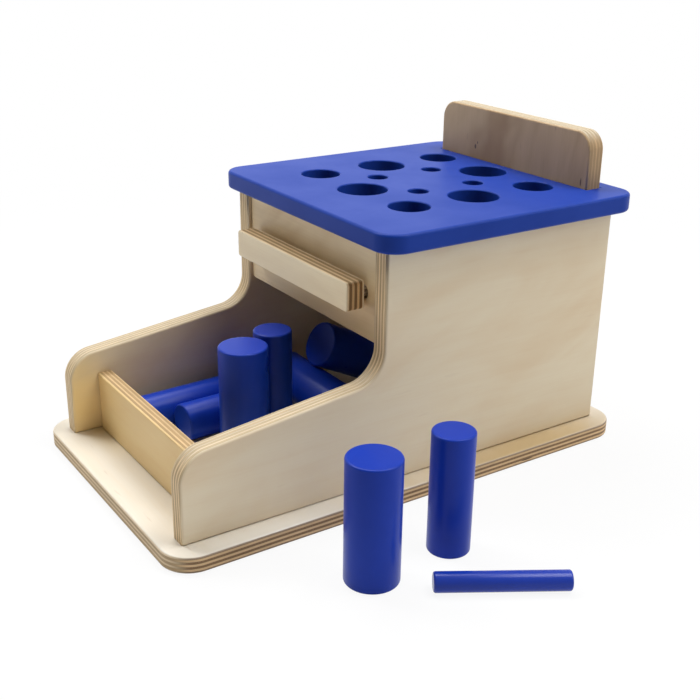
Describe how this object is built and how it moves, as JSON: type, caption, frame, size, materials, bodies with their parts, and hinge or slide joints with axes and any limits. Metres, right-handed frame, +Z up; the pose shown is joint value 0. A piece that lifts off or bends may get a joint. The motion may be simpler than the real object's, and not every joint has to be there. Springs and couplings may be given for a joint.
{
  "type": "cylinder drop box",
  "caption": "Plywood drop box: cylinders of three sizes stand in a holed top board until a pull bar slides the plate under them and drops them into a floor tray.",
  "frame": {"origin": "centre of the base board's flat underside, on the floor", "axes": "+Z up, -Y the front with the open tray and the pull bar, +X the right-hand side seen from behind the tray's user facing +Y"},
  "size_m": [0.3139, 0.322, 0.1975],
  "materials": {
    "birch_ply": "clear satin lacquer over birch plywood, dark and light ply bands on the cut edges",
    "painted_top": "satin blue paint over plywood",
    "painted_cylinder": "satin blue paint over turned wood",
    "dowel": "bare beech",
    "screw": "bright zinc plate"
  },
  "bodies": {
    "case": {"base_board": "birch_ply", "left_side": "birch_ply", "right_side": "birch_ply", "front_rail": "birch_ply", "front_panel": "birch_ply", "back_board": "birch_ply", "top_board": "painted_top", "left_runner": "birch_ply", "right_runner": "birch_ply", "left_rail_dowel_1": "dowel", "left_rail_dowel_2": "dowel", "left_panel_dowel_1": "dowel", "left_panel_dowel_2": "dowel", "left_back_dowel_1": "dowel", "left_back_dowel_2": "dowel", "left_top_dowel_1": "dowel", "left_top_dowel_2": "dowel", "left_top_dowel_3": "dowel", "right_rail_dowel_1": "dowel", "right_rail_dowel_2": "dowel", "right_panel_dowel_1": "dowel", "right_panel_dowel_2": "dowel", "right_back_dowel_1": "dowel", "right_back_dowel_2": "dowel", "right_top_dowel_1": "dowel", "right_top_dowel_2": "dowel", "right_top_dowel_3": "dowel", "base_screw_1": "screw", "base_screw_2": "screw", "base_screw_3": "screw", "base_screw_4": "screw", "base_screw_5": "screw", "base_screw_6": "screw", "base_screw_7": "screw", "base_screw_8": "screw", "base_screw_9": "screw", "base_screw_10": "screw"},
    "slider": {"drop_plate": "birch_ply", "pull_bar": "birch_ply"},
    "large_cylinder_1": {"large_cylinder_1": "painted_cylinder"},
    "medium_cylinder_1": {"medium_cylinder_1": "painted_cylinder"},
    "large_cylinder_2": {"large_cylinder_2": "painted_cylinder"},
    "medium_cylinder_2": {"medium_cylinder_2": "painted_cylinder"},
    "small_cylinder_1": {"small_cylinder_1": "painted_cylinder"},
    "medium_cylinder_3": {"medium_cylinder_3": "painted_cylinder"},
    "medium_cylinder_4": {"medium_cylinder_4": "painted_cylinder"},
    "large_cylinder_3": {"large_cylinder_3": "painted_cylinder"},
    "small_cylinder_2": {"small_cylinder_2": "painted_cylinder"},
    "small_cylinder_3": {"small_cylinder_3": "painted_cylinder"},
    "small_cylinder_4": {"small_cylinder_4": "painted_cylinder"},
    "large_cylinder_4": {"large_cylinder_4": "painted_cylinder"}
  },
  "joints": [
    {"name": "plate_pull", "type": "slide", "parent": "case", "child": "slider", "axis": [0, -1, 0], "range_m": [0, 0.024]},
    {"name": "large_cylinder_1_lift", "type": "slide", "parent": "case", "child": "large_cylinder_1", "axis": [0, 0, 1], "range_m": [0, 0.12]},
    {"name": "medium_cylinder_1_lift", "type": "slide", "parent": "case", "child": "medium_cylinder_1", "axis": [0, 0, 1], "range_m": [0, 0.12]},
    {"name": "large_cylinder_2_lift", "type": "slide", "parent": "case", "child": "large_cylinder_2", "axis": [0, 0, 1], "range_m": [0, 0.028]},
    {"name": "medium_cylinder_2_lift", "type": "slide", "parent": "case", "child": "medium_cylinder_2", "axis": [0, 0, 1], "range_m": [0, 0.028]},
    {"name": "small_cylinder_1_lift", "type": "slide", "parent": "case", "child": "small_cylinder_1", "axis": [0, 0, 1], "range_m": [0, 0.12]},
    {"name": "medium_cylinder_3_lift", "type": "slide", "parent": "case", "child": "medium_cylinder_3", "axis": [0, 0, 1], "range_m": [0, 0.06]},
    {"name": "medium_cylinder_4_lift", "type": "slide", "parent": "case", "child": "medium_cylinder_4", "axis": [0, 0, 1], "range_m": [0, 0.06]},
    {"name": "large_cylinder_3_push", "type": "slide", "parent": "case", "child": "large_cylinder_3", "axis": [1, 0, 0], "range_m": [0, 0.03]},
    {"name": "small_cylinder_2_lift", "type": "slide", "parent": "case", "child": "small_cylinder_2", "axis": [0, 0, 1], "range_m": [0, 0.05]},
    {"name": "small_cylinder_3_lift", "type": "slide", "parent": "case", "child": "small_cylinder_3", "axis": [0, 0, 1], "range_m": [0, 0.05]},
    {"name": "small_cylinder_4_lift", "type": "slide", "parent": "case", "child": "small_cylinder_4", "axis": [0, 0, 1], "range_m": [0, 0.05]},
    {"name": "large_cylinder_4_lift", "type": "slide", "parent": "case", "child": "large_cylinder_4", "axis": [0, 0, 1], "range_m": [0, 0.03]}
  ]
}
